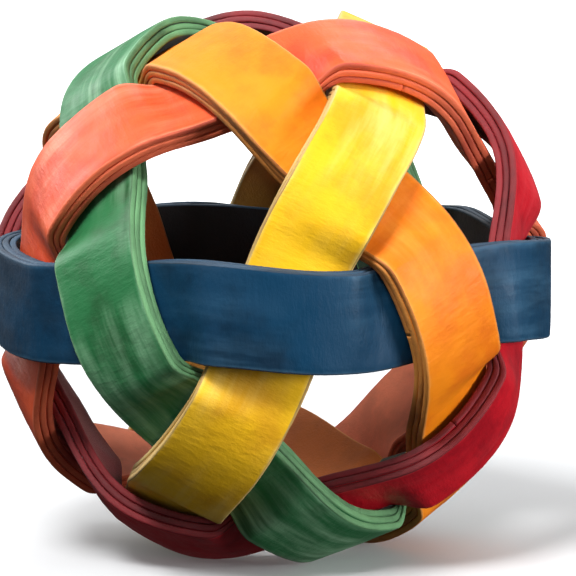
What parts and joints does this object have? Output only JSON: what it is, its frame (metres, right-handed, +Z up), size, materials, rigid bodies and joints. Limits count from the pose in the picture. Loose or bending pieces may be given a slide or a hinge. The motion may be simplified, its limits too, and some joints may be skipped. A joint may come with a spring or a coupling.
{
  "type": "juggling ball",
  "caption": "Open woven ball of interlaced leather straps, each a stack of thin plies, with pentagonal finger holes.",
  "frame": {"origin": "centre of the ball, which is also the centre of its bounding box", "axes": "+Z up, along the axis of the level blue strap, through two opposite open pentagons; the open pentagon of the lower front faces -Y"},
  "size_m": [0.075, 0.075, 0.0724],
  "materials": {
    "blue_leather": "satin",
    "red_leather": "satin",
    "green_leather": "satin",
    "amber_leather": "satin",
    "orange_leather": "satin",
    "yellow_leather": "satin"
  },
  "bodies": {
    "root": {"blue_strap_outer_ply": "blue_leather", "blue_strap_middle_ply": "blue_leather", "blue_strap_inner_ply": "blue_leather", "red_strap_outer_ply": "red_leather", "red_strap_middle_ply": "red_leather", "red_strap_inner_ply": "red_leather", "green_strap_outer_ply": "green_leather", "green_strap_middle_ply": "green_leather", "green_strap_inner_ply": "green_leather", "amber_strap_outer_ply": "amber_leather", "amber_strap_middle_ply": "amber_leather", "amber_strap_inner_ply": "amber_leather", "orange_strap_outer_ply": "orange_leather", "orange_strap_middle_ply": "orange_leather", "orange_strap_inner_ply": "orange_leather", "yellow_strap_outer_ply": "yellow_leather", "yellow_strap_middle_ply": "yellow_leather", "yellow_strap_inner_ply": "yellow_leather"}
  },
  "joints": []
}
